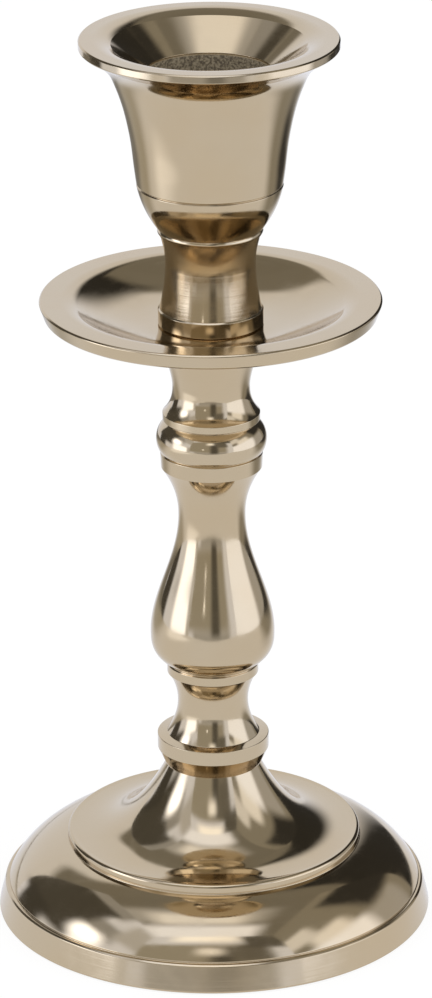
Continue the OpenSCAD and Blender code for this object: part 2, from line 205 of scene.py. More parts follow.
class HolderCupSizes(bpy.types.PropertyGroup):
    """Sizes of the candle cup."""
    bottom_z: taken("Bottom", "Height of the cup's foot on the pan", CUP_LOW.z)
    top_z: taken("Top", "Height of the rim", CUP_HIGH.z)
    mouth_r: taken("Mouth radius", "Radius of the rim round the mouth", CUP_HIGH.x)
    foot_r: size("Foot ring radius", "Radius of the ring at the cup's foot", 9.4)
    foot_h: size("Foot ring height", "Height of the ring at the cup's foot", 3.1)
    neck_foot_r: size("Neck foot radius", "Radius where the neck meets the foot ring", 9.1)
    neck_r: size("Neck radius", "Smallest radius of the neck", 8.05)
    neck_top_r: size("Neck top radius", "Radius where the neck meets the bead", 9.05)
    neck_down_h: size("Neck down", "Height of the neck up to its smallest radius", 8.3)
    neck_up_h: size("Neck up", "Height of the neck above its smallest radius", 5.6)
    neck_power: number("Neck power", "How late and hard the neck curves", 1.9)
    bead_r: size("Bead radius", "Radius of the bead under the bowl", 9.4)
    bead_h: size("Bead height", "Height of the bead", 1.1)
    bowl_h: size("Bowl height", "Height of the bowl, up to the bell", 7.9)
    bowl_r: size("Bowl radius", "Radius of the bowl where the bell begins", 13.0)
    bowl_rise: size("Bowl rise", "How far the bowl bows outwards", 0.5)
    bell_line_w: size("Bell line", "Width of the line turned between bowl and bell", 0.4)
    bell_h: size("Bell height", "Height of the flared bell", 24.9)
    flat_w: size("Rim flat", "Width of the flat ring on top of the rim", 2.3)
    lip_drop: size("Lip drop", "Drop of the rounded lip inside the flat ring", 0.9)
    lip_w: size("Lip width", "Width of the rounded lip", 3.4)
    lip_power: number("Lip power", "How late and hard the lip turns down", 2.0)
    funnel_h: size("Funnel depth", "Depth of the funnel, from the lip to the bore", 5.1)
    bore_r: size("Bore radius", "Radius of the candle bore", 11.2)
    bore_depth: size("Bore depth", "Depth of the candle bore", 19.7)
    stud_hole: size("Stud hole", "Depth of the tapped hole in the cup's foot", 11.5)
    edge_round: size("Edge rounding", "Rounding of the turned edges", 0.15)
    segments: count("Segments", "Steps round the cup", 224)


class HolderFastenerSizes(bpy.types.PropertyGroup):
    """Sizes of the studs, the washers and the nut."""
    stud_r: taken("Stud radius", "Outer radius of the studs", CUP_STUD_HIGH.x)
    play: size("Thread play", "Radial play of a stud in its tapped hole", 0.05)
    pitch: size("Thread pitch", "Rise of the thread in one turn", 1.0)
    thread_depth: size("Thread depth", "Depth of the thread", 0.54)
    nut_flats: size("Nut flats", "Width of the nut across its flats", 10.0)
    nut_chamfer: size("Nut chamfer", "Chamfer round the nut's corners", 0.6)
    split_w: size("Split width", "Width of the spring washer's split", 0.8)
    edge_round: size("Edge rounding", "Rounding of the stamped edges", 0.2)
    segments: count("Segments", "Steps round a fastener", 96)
    thread_steps: count("Thread steps", "Rows of points in one pitch of the thread", 8)


class HolderFeltSizes(bpy.types.PropertyGroup):
    """Sizes of the felt ring and its fibres."""
    outer_r: taken("Outer radius", "Outer radius of the felt ring", FELT_HIGH.x)
    width: size("Width", "Width of the felt ring", 3.0)
    pile: size("Pile", "Room that the loose fibres take under the felt", 0.07)
    fibre_length: size("Fibre length", "Length of one loose fibre", 0.9)
    fibre_r: size("Fibre radius", "Radius of one loose fibre", 0.014)
    fibres: count("Fibres", "Loose fibres for each square millimetre", 4)
    seed: count("Seed", "Seed of the fibres' places", 7)
    segments: count("Segments", "Steps round the felt", 192)


class HolderFinish(bpy.types.PropertyGroup):
    """Colours and roughness of the finishes."""
    plate: colour("Plate", "Colour of the polished plate", (0.565, 0.455, 0.299))
    plate_warm: colour("Warm plate", "Colour where the plate is thin", (0.560, 0.438, 0.274))
    bare: colour("Bare metal", "Colour of the unpolished inside", (0.46, 0.39, 0.27))
    bare_dark: colour("Dark bare metal", "Colour of the grime in the unpolished inside", (0.16, 0.13, 0.09))
    plate_rough: number("Plate roughness", "Roughness of the polished outside", 0.10)
    turned_rough: number("Turned roughness", "Roughness of the unpolished inside", 0.55)
    inside_matt: number("Inside scatter", "Share of the unpolished inside that scatters light", 0.85)
    inside_lines: number("Inside lines", "How much deeper the turned lines are inside", 80.0)
    faint_lines: number("Faint lines", "Share of the inside's finish on the skirt and cup's neck", 0.06)
    steel: colour("Steel", "Colour of the zinc plated steel", (0.52, 0.53, 0.55))
    steel_rough: number("Steel roughness", "Roughness of the zinc plated steel", 0.34)
    felt: colour("Felt", "Colour of the felt", (0.018, 0.040, 0.024))
    felt_light: colour("Light felt", "Colour of the felt's lighter fibres", (0.040, 0.078, 0.050))


class HolderStudio(bpy.types.PropertyGroup):
    """The camera, the lamps and the walls of the light tent."""
    camera_x: size("Camera offset", "How far the camera stands to the right", 0.75)
    camera_back: size("Camera distance", "How far the camera stands in front", 900.0)
    camera_z: size("Camera height", "Height of the camera", 432.0)
    camera_down: number("Camera pitch", "How far the camera looks down, in degrees", 21.39)
    camera_roll: number("Camera roll", "How far the camera is rolled, in degrees", 0.32)
    lens: number("Lens", "Focal length for a picture that is 36 mm high", 193.86)
    tent: size("Tent half width", "Half the width of the light tent", 450.0)
    tent_h: size("Tent height", "Height of the light tent", 900.0)
    floor: size("Floor", "Half the width of the floor", 1500.0)
    floor_light: number("Floor glow", "Share of the floor's white that doesn't depend on shadow", 0.8)
    floor_white: number("Floor white", "Strength of the floor's glow to the camera", 1.08)
    lamp_power: number("Lamp power", "Power of each soft lamp, in watts", 1.0)
    world_light: number("World light", "Strength of the world on matt surfaces", 0.75)


@dataclass
class Spot:
    """One point of a turned outline: its radius and height, and how it is finished there."""
    r: float
    z: float
    inside: float = 0.0
    edge: float = 0.0
    thread: float = 0.0

    @property
    def place(self):
        return Vector((self.r, self.z))


def upright(low, high, power, steps=26):
    """A stretch of outline that leaves its first point upright."""
    return [Spot(low.r + (high.r - low.r) * (i / steps) ** power, low.z + (high.z - low.z) * i / steps)
            for i in range(steps + 1)]


def level(start, end, power, steps=32):
    """A stretch of outline that leaves its first point level."""
    return [Spot(start.r + (end.r - start.r) * i / steps, start.z + (end.z - start.z) * (i / steps) ** power)
            for i in range(steps + 1)]


def ogee(low, high, lean, steps=48):
    """An S-shaped stretch, upright at both its ends."""
    return [Spot(low.r + (high.r - low.r) * (1 - math.cos(math.pi * (i / steps) ** lean)) / 2,
                 low.z + (high.z - low.z) * i / steps) for i in range(steps + 1)]


def bow(start, end, rise, steps=20):
    """A round arc, bowed by rise to the right of the way it runs."""
    a, b = start.place, end.place
    chord = (b - a).length
    along = (b - a) / chord
    side = Vector((along.y, -along.x))
    radius = (chord ** 2 / 4 + rise ** 2) / (2 * rise)
    centre = (a + b) / 2 + side * (rise - radius)
    half = math.asin(chord / 2 / radius)
    points = [centre + side * radius * math.cos(t) + along * radius * math.sin(t)
              for t in (half * (2 * i / steps - 1) for i in range(steps + 1))]
    return [Spot(p.x, p.y) for p in points]


def blend_point(a, b, c, d, t):
    """One point of a smooth curve through four neighbours."""
    return (2 * b + (c - a) * t + (2 * a - 5 * b + 4 * c - d) * t * t
            + (3 * b - a - 3 * c + d) * t ** 3) / 2


def through(start, end, shares, steps=8):
    """A smooth curve from start to end through the points that the shares give."""
    marks = [Vector((start.r + (end.r - start.r) * u, start.z + (end.z - start.z) * v)) for u, v in shares]
    last = len(marks) - 1
    points = [blend_point(marks[max(k - 1, 0)], marks[k], marks[k + 1], marks[min(k + 2, last)], i / steps)
              for k in range(last) for i in range(steps)]
    return [Spot(p.x, p.y) for p in points + [marks[last]]]


def back(spots):
    """The same stretch in the other order."""
    return spots[::-1]


def waisted(low, waist, high, power, high_power=None):
    """A stretch that narrows from low to its waist and widens from there to high."""
    return back(upright(waist, low, power)) + upright(waist, high, high_power or power)


def ring_section(inner_r, outer_r, low, high):
    """A ring's square section, which starts and ends half way up its inner side."""
    middle = Spot(inner_r, (low + high) / 2)
    return [middle, Spot(inner_r, low), Spot(outer_r, low), Spot(outer_r, high), Spot(inner_r, high), middle]


def inner(spots, share=1.0):
    """The same stretch, with a share of the plain turned finish of the inside."""
    return [replace(spot, inside=share) for spot in spots]


def threaded(r, z0, z1, fasteners):
    """A threaded wall of radius r from z0 to z1, whose thread runs out over one pitch at both ends."""
    rows = max(2, round(abs(z1 - z0) / fasteners.pitch * fasteners.thread_steps))
    spots = []
    for i in range(rows + 1):
        z = z0 + (z1 - z0) * i / rows
        share = min(1.0, abs(z - z0) / fasteners.pitch, abs(z1 - z) / fasteners.pitch)
        spots.append(Spot(r, z, inside=1.0, thread=fasteners.thread_depth * share))
    return spots


def distinct(spots):
    """The spots without those that lie on the one before."""
    kept = [spots[0]]
    for spot in spots[1:]:
        if (spot.place - kept[-1].place).length > SAME_POINT:
            kept.append(spot)
    return kept


def soften(spots, radius):
    """Rounds each corner of an outline, and marks the rounded edges, where the finish wears."""
    spots = distinct(spots)
    out = [spots[0]]
    for before, spot, after in zip(spots, spots[1:], spots[2:]):
        came, goes = spot.place - before.place, after.place - spot.place
        turn = came.angle(goes)
        if turn < CORNER_TURN or spot.thread:
            out.append(spot)
            continue
        cut = min(radius * math.tan(min(turn, CORNER_LIMIT) / 2),
                  CORNER_SHARE * came.length, CORNER_SHARE * goes.length)
        came, goes = came.normalized(), goes.normalized()
        start, end = spot.place - came * cut, spot.place + goes * cut
        held = [start - came * cut * (CORNER_HOLD - 1), end + goes * cut * (CORNER_HOLD - 1)]
        facets = max(3, round(turn / CORNER_FACET))
        out.append(replace(spot, r=held[0].x, z=held[0].y))
        for i in range(facets + 1):
            t = i / facets
            p = start * (1 - t) ** 2 + spot.place * 2 * t * (1 - t) + end * t * t
            out.append(replace(spot, r=p.x, z=p.y, edge=1.0))
        out.append(replace(spot, r=held[1].x, z=held[1].y))
    return out + [spots[-1]]


class NodeMaker:
    """Short calls that add nodes to a tree."""

    def __init__(self, tree):
        self.tree = tree

    def add(self, kind, values=None, **settings):
        """A node of that kind, with its settings and the values or links of its inputs."""
        node = self.tree.nodes.new(kind)
        for key, value in settings.items():
            setattr(node, key, value)
        for key, value in (values or {}).items():
            self.feed(self.pick(node.inputs, key), value)
        return node

    @staticmethod
    def pick(sockets, key):
        """The socket in use with that name, or the one with that number."""
        if isinstance(key, int):
            return sockets[key]
        return next(s for s in sockets if s.name == key and s.enabled)

    def feed(self, socket, value):
        """Links a socket to an output, or sets its value."""
        if isinstance(value, bpy.types.NodeSocket):
            self.tree.links.new(value, socket)
        else:
            socket.default_value = value

    def out(self, kind, values=None, output=0, **settings):
        """The output of a new node."""
        return self.pick(self.add(kind, values, **settings).outputs, output)

    def math(self, operation, a, b=0.0):
        return self.out("ShaderNodeMath", {0: a, 1: b}, operation=operation)

    def plus(self, a, b):
        return self.math("ADD", a, b)

    def minus(self, a, b):
        return self.math("SUBTRACT", a, b)

    def times(self, a, b):
        return self.math("MULTIPLY", a, b)

    def over(self, a, b):
        return self.math("DIVIDE", a, b)

    def larger(self, a, b):
        return self.math("MAXIMUM", a, b)

    def below(self, value, limit):
        """True where a value is under its limit."""
        return self.out("FunctionNodeCompare", {"A": value, "B": limit}, data_type="FLOAT",
                        operation="LESS_THAN")

    def whole(self, operation, a, b):
        return self.out("FunctionNodeIntegerMath", {0: a, 1: b}, operation=operation)

    def vector(self, x, y, z):
        return self.out("ShaderNodeCombineXYZ", {"X": x, "Y": y, "Z": z})

    def ramp(self, value, low, high, to_low=0.0, to_high=1.0, kind="SMOOTHSTEP"):
        """A smooth step of value from low to high."""
        ends = {"Value": value, "From Min": low, "From Max": high, "To Min": to_low, "To Max": to_high}
        return self.out("ShaderNodeMapRange", ends, output="Result", interpolation_type=kind)

    def mix(self, share, a, b):
        """A colour between two others."""
        node = self.tree.nodes.new("ShaderNodeMix")
        node.data_type = "RGBA"
        self.feed(node.inputs[0], share)
        for socket, value in ((node.inputs[6], a), (node.inputs[7], b)):
            self.feed(socket, value if isinstance(value, bpy.types.NodeSocket) else (*value, 1.0))
        return node.outputs[2]

    def bump(self, height):
        """The normal of a surface with that height, in metres."""
        return self.out("ShaderNodeBump", {"Height": height, "Distance": 1.0, "Strength": 1.0})

    def noise(self, place, scale, detail=2.0, roughness=0.5, dimensions="3D"):
        return self.out("ShaderNodeTexNoise",
                        {"Vector": place, "Scale": scale, "Detail": detail, "Roughness": roughness},
                        noise_dimensions=dimensions)


def new_tree(name, inputs):
    """An empty Geometry Nodes tree with a geometry in and out, and the named inputs."""
    tree = bpy.data.node_groups.new(name, "GeometryNodeTree")
    tree.interface.new_socket("Geometry", in_out="INPUT", socket_type="NodeSocketGeometry")
    for label, kind in inputs:
        tree.interface.new_socket(label, in_out="INPUT", socket_type="NodeSocket" + kind)
    tree.interface.new_socket("Geometry", in_out="OUTPUT", socket_type="NodeSocketGeometry")
    return tree, NodeMaker(tree)


def end_tree(n, geometry, material):
    """Makes a tree's instances real, gives them their material and ends the tree."""
    real = n.out("GeometryNodeRealizeInstances", {0: geometry})
    n.add("NodeGroupOutput", {0: n.out("GeometryNodeSetMaterial", {"Geometry": real, "Material": material})})


def lathe_tree():
    """Turns an outline about Z. The outline's points hold radius in X and height in Z.
    Flats cut the sides as a hexagon's, and the outline's thread attribute is cut along a helix."""
    name = "turned_on_lathe"
    if name in bpy.data.node_groups:
        return bpy.data.node_groups[name]
    tree, n = new_tree(name, [("Points", "Int"), ("Segments", "Int"), ("Flats", "Float"), ("Pitch", "Float"),
                              ("Weld", "Float"), ("Sharp", "Float"), ("Material", "Material")])
    given = n.add("NodeGroupInput").outputs
    grid = n.out("GeometryNodeMeshGrid", {"Size X": 1.0, "Size Y": 1.0, "Vertices Y": given["Points"],
                                          "Vertices X": n.whole("ADD", given["Segments"], 1)})
    index = n.out("GeometryNodeInputIndex")
    row = n.whole("MODULO", index, given["Points"])
    column = n.whole("DIVIDE", index, given["Points"])
    share = n.over(column, given["Segments"])
    angle = n.times(share, TURN)

    def sampled(value, kind):
        return n.out("GeometryNodeSampleIndex", {"Geometry": given["Geometry"], "Value": value, "Index": row},
                     data_type=kind, domain="POINT")

    def mark(label):
        return sampled(n.out("GeometryNodeInputNamedAttribute", {"Name": label}, output="Attribute",
                             data_type="FLOAT"), "FLOAT")

    place = n.add("ShaderNodeSeparateXYZ",
                  {0: sampled(n.out("GeometryNodeInputPosition"), "FLOAT_VECTOR")}).outputs
    # Place along the pitch, 0 at a crest and 1 at a root, with a narrow flat at both
    climb = n.minus(n.over(place["Z"], given["Pitch"]), share)
    wave = n.math("ABSOLUTE", n.minus(n.times(n.math("FRACT", climb), 2.0), 1.0))
    cut = n.ramp(wave, THREAD_FLAT, 1.0 - THREAD_FLAT, kind="LINEAR")
    radius = n.minus(place["X"], n.times(mark("thread"), cut))
    # Distance of a flat side along this angle
    sixth = TURN / 6
    lean = n.minus(n.math("MODULO", angle, sixth), sixth / 2)
    flat = n.over(n.times(given["Flats"], 0.5), n.math("COSINE", lean))
    has_flats = n.below(0.0, given["Flats"])
    radius = n.out("GeometryNodeSwitch", {"Switch": has_flats, "False": radius,
                                          "True": n.math("MINIMUM", radius, flat)}, input_type="FLOAT")
    shaped = n.out("GeometryNodeSetPosition", {
        "Geometry": grid,
        "Position": n.vector(n.times(radius, n.math("COSINE", angle)),
                             n.times(radius, n.math("SINE", angle)), place["Z"])})
    for label in ("inside", "edge"):
        shaped = n.out("GeometryNodeStoreNamedAttribute",
                       {"Geometry": shaped, "Name": label, "Value": mark(label)},
                       data_type="FLOAT", domain="POINT")
    welded = n.out("GeometryNodeMergeByDistance", {"Geometry": shaped, "Distance": given["Weld"]})
    smooth = n.out("GeometryNodeSetShadeSmooth", {0: welded, 2: True}, domain="FACE")
    soft = n.below(n.out("GeometryNodeInputMeshEdgeAngle"), given["Sharp"])
    edged = n.out("GeometryNodeSetShadeSmooth", {0: smooth, 2: soft}, domain="EDGE")
    end_tree(n, edged, given["Material"])
    return tree


def felt_tree():
    """Scatters short bent fibres under a felt piece, lying close to its underside."""
    name = "felt_fibres"
    if name in bpy.data.node_groups:
        return bpy.data.node_groups[name]
    tree, n = new_tree(name, [("Density", "Float"), ("Seed", "Int"), ("Length", "Float"), ("Radius", "Float"),
                              ("Rise", "Float"), ("Material", "Material")])
    given = n.add("NodeGroupInput").outputs
    facing = n.add("ShaderNodeSeparateXYZ", {0: n.out("GeometryNodeInputNormal")}).outputs["Z"]
    under = n.below(facing, STRAIGHT_DOWN)
    spread = n.add("GeometryNodeDistributePointsOnFaces",
                   {0: given["Geometry"], "Selection": under, "Density": given["Density"],
                    "Seed": given["Seed"]}).outputs
    half = n.times(given["Length"], 0.5)
    sink = n.times(given["Radius"], -1.0)
    line = n.out("GeometryNodeCurveQuadraticBezier", {
        "Resolution": 5, "Start": n.vector(n.times(half, -1.0), 0.0, sink),
        "Middle": n.vector(0.0, n.times(half, FIBRE_BEND), given["Rise"]),
        "End": n.vector(half, 0.0, sink)})
    section = n.out("GeometryNodeCurvePrimitiveCircle", {"Resolution": 3, "Radius": given["Radius"]})
    fibre = n.out("GeometryNodeCurveToMesh", {"Curve": line, "Profile Curve": section, "Fill Caps": True})
    spin = n.out("FunctionNodeRandomValue", {"Min": 0.0, "Max": TURN, "Seed": given["Seed"]},
                 output="Value", data_type="FLOAT")
    turned = n.out("FunctionNodeRotateRotation", {
        "Rotation": spread["Rotation"],
        "Rotate By": n.out("FunctionNodeEulerToRotation", {0: n.vector(0.0, 0.0, spin)})},
        rotation_space="LOCAL")
    reach = n.out("FunctionNodeRandomValue", {"Min": SHORTEST_FIBRE, "Max": 1.0, "Seed": given["Seed"]},
                  output="Value", data_type="FLOAT")
    placed = n.out("GeometryNodeInstanceOnPoints", {
        "Points": spread["Points"], "Instance": fibre, "Rotation": turned, "Scale": reach})
    joined = n.add("GeometryNodeJoinGeometry")
    n.feed(joined.inputs[0], placed)
    n.feed(joined.inputs[0], given["Geometry"])
    end_tree(n, joined.outputs[0], given["Material"])
    return tree


def run_tree(piece, tree, values):
    """Runs a tree on a piece and keeps the result as its plain mesh."""
    modifier = piece.modifiers.new(tree.name, "NODES")
    modifier.node_group = tree
    for item in tree.interface.items_tree:
        if item.item_type == "SOCKET" and item.in_out == "INPUT" and item.name in values:
            modifier[item.identifier] = values[item.name]
    graph = bpy.context.evaluated_depsgraph_get()
    made = bpy.data.meshes.new_from_object(piece.evaluated_get(graph), preserve_all_data_layers=True,
                                           depsgraph=graph)
    piece.modifiers.remove(modifier)
    plain, piece.data = piece.data, made
    bpy.data.meshes.remove(plain)
    made.name = piece.name
    if not made.polygons:
        raise RuntimeError(f"{piece.name} came out empty")


def new_piece(name, points, edges=(), faces=()):
    """A mesh object at the origin."""
    mesh = bpy.data.meshes.new(name)
    mesh.from_pydata([tuple(p) for p in points], list(edges), list(faces))
    piece = bpy.data.objects.new(name, mesh)
    bpy.context.scene.collection.objects.link(piece)
    return piece


def turned_piece(name, spots, radius, segments, material, flats=0.0, pitch=1.0 * MM):
    """A piece turned about Z from an outline that runs with its metal on the left."""
    spots = distinct(soften(spots, radius))
    piece = new_piece(name, [(s.r, 0.0, s.z) for s in spots], [(i, i + 1) for i in range(len(spots) - 1)])
    for label in ("inside", "edge", "thread"):
        marks = piece.data.attributes.new(label, "FLOAT", "POINT")
        marks.data.foreach_set("value", [getattr(s, label) for s in spots])
    run_tree(piece, lathe_tree(), {
        "Points": len(spots), "Segments": segments, "Flats": flats, "Pitch": pitch,
        "Weld": SAME_POINT / 2, "Sharp": SHARP_TURN, "Material": material})
    return piece


def stand_for(piece, node, body):
    """A finished piece replaces the CAD node of like shape and moves with its body."""
    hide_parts(node)
    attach(piece, body)


# How fine the noises of the finishes are, in patches for each metre
BLOTCH_SCALE = 45.0
UNEVEN_SCALE = 160.0
WIPE_SCALE = 260.0
ZINC_SCALE = 300.0
WAVE_SCALE = 900.0
GRIME_SCALE = 2400.0
LINE_SCALE = 2600.0
DRAWN_SCALE = 3000.0
GRAIN_SCALE = 4000.0
FLUFF_SCALE = 5000.0
# How high the finishes stand, in metres
LINE_HEIGHT = 0.5e-6
WAVE_HEIGHT = 0.8e-6
GRAIN_HEIGHT = 1.2e-6
DRAWN_HEIGHT = 2.0e-6
UNEVEN_HEIGHT = 2.5e-6
FLUFF_HEIGHT = 4.0e-5
# How far the roughness goes down and up with the wipe marks, the lines, the wear and the zinc's grain
WIPE_DOWN, WIPE_UP = 0.03, 0.05
LINE_ROUGHNESS = 0.08
WEAR_ROUGHNESS = 0.08
GRAIN_DOWN, GRAIN_UP = 0.06, 0.08
# How much of an edge is worn, where it is wiped least and most
LEAST_WORN, MOST_WORN = 0.15, 0.8
# What the blue and the yellow places of the zinc do to the steel's colour
ZINC_TINTS = ((0.93, 0.98, 1.05), (1.06, 1.02, 0.88))


def new_material(name):
    """An empty material with an output, and its node maker."""
    material = bpy.data.materials.new(name)
    material.use_nodes = True
    material.node_tree.nodes.clear()
    n = NodeMaker(material.node_tree)
    return material, n, n.add("ShaderNodeOutputMaterial")


def material_once(name):
    """For a function that draws a surface: calling it gives the material of that name, made only once."""
    def wrap(draw):
        def give():
            if name in bpy.data.materials:
                return bpy.data.materials[name]
            material, n, output = new_material(name)
            n.feed(output.inputs["Surface"], draw(n, bpy.context.scene.holder_finish))
            return material
        return give
    return wrap


def turned_place(n):
    """The object's own place, and a place that only changes across the turned lines."""
    place = n.out("ShaderNodeTexCoord", output="Object")
    parts = n.add("ShaderNodeSeparateXYZ", {0: place}).outputs
    squares = n.plus(n.times(parts["X"], parts["X"]), n.times(parts["Y"], parts["Y"]))
    return place, n.vector(n.math("SQRT", squares), parts["Z"], 0.0)


@material_once("polished_plate")
def plated_metal(n, finish):
    """Pale polished plate with fine turned lines, wipe marks and worn edges. Inside it is plain and grimy."""
    place, across = turned_place(n)
    inside = n.out("ShaderNodeAttribute", output="Fac", attribute_name="inside")
    edge = n.out("ShaderNodeAttribute", output="Fac", attribute_name="edge")
    blotch = n.noise(place, BLOTCH_SCALE, detail=3.0)
    wipe = n.noise(place, WIPE_SCALE, detail=4.0, roughness=0.6)
    fine = n.noise(across, LINE_SCALE, detail=3.0, roughness=0.7, dimensions="2D")
    coarse = n.noise(across, WAVE_SCALE, detail=2.0, dimensions="2D")
    worn = n.times(edge, n.ramp(wipe, 0.42, 0.62, LEAST_WORN, MOST_WORN))
    tone = n.mix(n.ramp(blotch, 0.35, 0.7), finish.plate, finish.plate_warm)
    tone = n.mix(n.times(worn, 0.5), tone, finish.plate_warm)
    grime = n.mix(n.ramp(n.noise(place, GRIME_SCALE), 0.35, 0.65), finish.bare_dark, finish.bare)
    tone = n.mix(n.ramp(inside, 0.5, 1.0), tone, grime)
    rough = n.ramp(wipe, 0.3, 0.75, finish.plate_rough - WIPE_DOWN, finish.plate_rough + WIPE_UP)
    rough = n.plus(rough, n.times(n.minus(fine, 0.5), LINE_ROUGHNESS))
    rough = n.plus(rough, n.times(worn, WEAR_ROUGHNESS))
    rough = n.plus(rough, n.times(inside, finish.turned_rough - finish.plate_rough))
    # The unpolished inside scatters much of its light
    metal = n.minus(1.0, n.times(inside, finish.inside_matt))
    # Fine lines and wider turning waves, deeper inside, and the slight unevenness of hand polishing
    lines = n.plus(n.times(fine, LINE_HEIGHT), n.times(coarse, WAVE_HEIGHT))
    lines = n.times(lines, n.plus(n.times(inside, finish.inside_lines), 1.0))
    uneven = n.times(n.noise(place, UNEVEN_SCALE, detail=1.0), UNEVEN_HEIGHT)
    return n.out("ShaderNodeBsdfPrincipled", {
        "Base Color": tone, "Metallic": metal, "Roughness": rough,
        "Normal": n.bump(n.plus(lines, uneven))})


@material_once("satin_zinc")
def zinc_steel(n, finish):
    """Zinc plated steel: satin, a little blue and yellow, with fine drawn lines."""
    place, across = turned_place(n)
    blotch = n.noise(place, ZINC_SCALE, detail=3.0)
    grain = n.noise(place, GRAIN_SCALE, detail=3.0)
    lines = n.noise(across, DRAWN_SCALE, detail=2.0, dimensions="2D")
    tints = [[part * share for part, share in zip(finish.steel, tint)] for tint in ZINC_TINTS]
    tone = n.mix(n.ramp(blotch, 0.35, 0.65), *tints)
    rough = n.ramp(grain, 0.3, 0.7, finish.steel_rough - GRAIN_DOWN, finish.steel_rough + GRAIN_UP)
    height = n.plus(n.times(grain, GRAIN_HEIGHT), n.times(lines, DRAWN_HEIGHT))
    return n.out("ShaderNodeBsdfPrincipled", {
        "Base Color": tone, "Metallic": 1.0, "Roughness": rough, "Normal": n.bump(height)})


@material_once("wool_felt")
def wool_felt(n, finish):
    """Pressed wool felt: mottled dark green with a soft sheen."""
    place = n.out("ShaderNodeTexCoord", output="Object")
    mottle = n.noise(place, WAVE_SCALE, detail=4.0, roughness=0.7)
    fluff = n.noise(place, FLUFF_SCALE, detail=3.0)
    tone = n.mix(n.ramp(mottle, 0.35, 0.7), finish.felt, finish.felt_light)
    return n.out("ShaderNodeBsdfPrincipled", {
        "Base Color": tone, "Roughness": 0.95, "Sheen Weight": 0.35, "Sheen Roughness": 0.5,
        "Normal": n.bump(n.times(fluff, FLUFF_HEIGHT))})


class HOLDER_OT_foot(bpy.types.Operator):
    """Makes the round hollow foot"""
    bl_idname = "holder.foot"
    bl_label = "Foot"

    def execute(self, context):
        scene = context.scene
        foot, felt, studs = scene.holder_foot, scene.holder_felt, scene.holder_fasteners
        faint = scene.holder_finish.faint_lines
        skirt_top_z = foot.bottom_z + foot.skirt_h + foot.skirt_bevel
        bevel_r = foot.skirt_r - foot.skirt_lean - foot.skirt_bevel
        dome_z = skirt_top_z + foot.groove_h
        step_z = dome_z + foot.dome_h
        step_top_z = step_z + foot.step_h + foot.step_round
        flat_z = step_top_z - foot.step_sink
        flat_r = foot.step_r - 2 * foot.step_round
        web_z = foot.seat_z - foot.web_t
        hole_r = studs.stud_r + foot.hole_gap
        land_r = foot.skirt_r - foot.land_w
        seat_out_r = felt.outer_r + foot.felt_gap
        seat_in_r = felt.outer_r - felt.width - foot.felt_gap
        seat_z = FELT_HIGH.z
        washer_r = WASHER_HIGH.x
        hollow = [Spot(land_r, foot.bottom_z), Spot(land_r, foot.bottom_z + foot.land_h)]
        hollow += bow(Spot(land_r, foot.bottom_z + foot.land_h + foot.groove_h),
                      Spot(foot.step_r - foot.wall, flat_z - foot.wall), foot.dome_rise)
        hollow += level(Spot(flat_r - foot.wall, flat_z - foot.wall),
                        Spot(washer_r + foot.washer_room, web_z), foot.cone_power)
        under = [Spot(hole_r, foot.seat_z - foot.web_t / 2), Spot(hole_r, web_z)] + back(hollow)
        under += [Spot(seat_in_r, foot.bottom_z), Spot(seat_in_r, seat_z),
                  Spot(seat_out_r, seat_z), Spot(seat_out_r, foot.bottom_z)]
        outside = inner([Spot(foot.skirt_r, foot.bottom_z),
                         Spot(foot.skirt_r - foot.skirt_lean, foot.bottom_z + foot.skirt_h)], faint)
        outside += [Spot(bevel_r, skirt_top_z), Spot(bevel_r - foot.groove_w, skirt_top_z)]
        outside += bow(Spot(bevel_r - foot.groove_w, dome_z), Spot(foot.step_r, step_z),
                       foot.dome_rise, steps=36)
        outside += bow(Spot(foot.step_r, step_z + foot.step_h),
                       Spot(foot.step_r - foot.step_round, step_top_z), foot.step_round / 4, steps=10)
        outside += level(Spot(flat_r, flat_z), Spot(foot.cone_top_r, foot.seat_z), foot.cone_power, steps=56)
        seat = inner([Spot(hole_r, foot.seat_z), Spot(hole_r, foot.seat_z - foot.web_t / 2)])
        piece = turned_piece("foot_turned", inner(under) + outside + seat, foot.edge_round, foot.segments,
                             plated_metal())
        stand_for(piece, "foot", "stand")
        return {"FINISHED"}


class HOLDER_OT_felt(bpy.types.Operator):
    """Makes the felt ring under the foot, with its loose fibres"""
    bl_idname = "holder.felt"
    bl_label = "Felt ring"

    def execute(self, context):
        felt = context.scene.holder_felt
        inner_r = felt.outer_r - felt.width
        section = ring_section(inner_r + felt.pile, felt.outer_r - felt.pile,
                               FELT_LOW.z + felt.pile, FELT_HIGH.z)
        piece = turned_piece("felt_ring_wool", section, 3 * felt.pile, felt.segments, wool_felt())
        run_tree(piece, felt_tree(), {
            "Density": felt.fibres / MM ** 2, "Seed": felt.seed, "Length": felt.fibre_length,
            "Radius": felt.fibre_r, "Rise": felt.pile - 2 * felt.fibre_r, "Material": wool_felt()})
        stand_for(piece, "felt_ring", "stand")
        return {"FINISHED"}


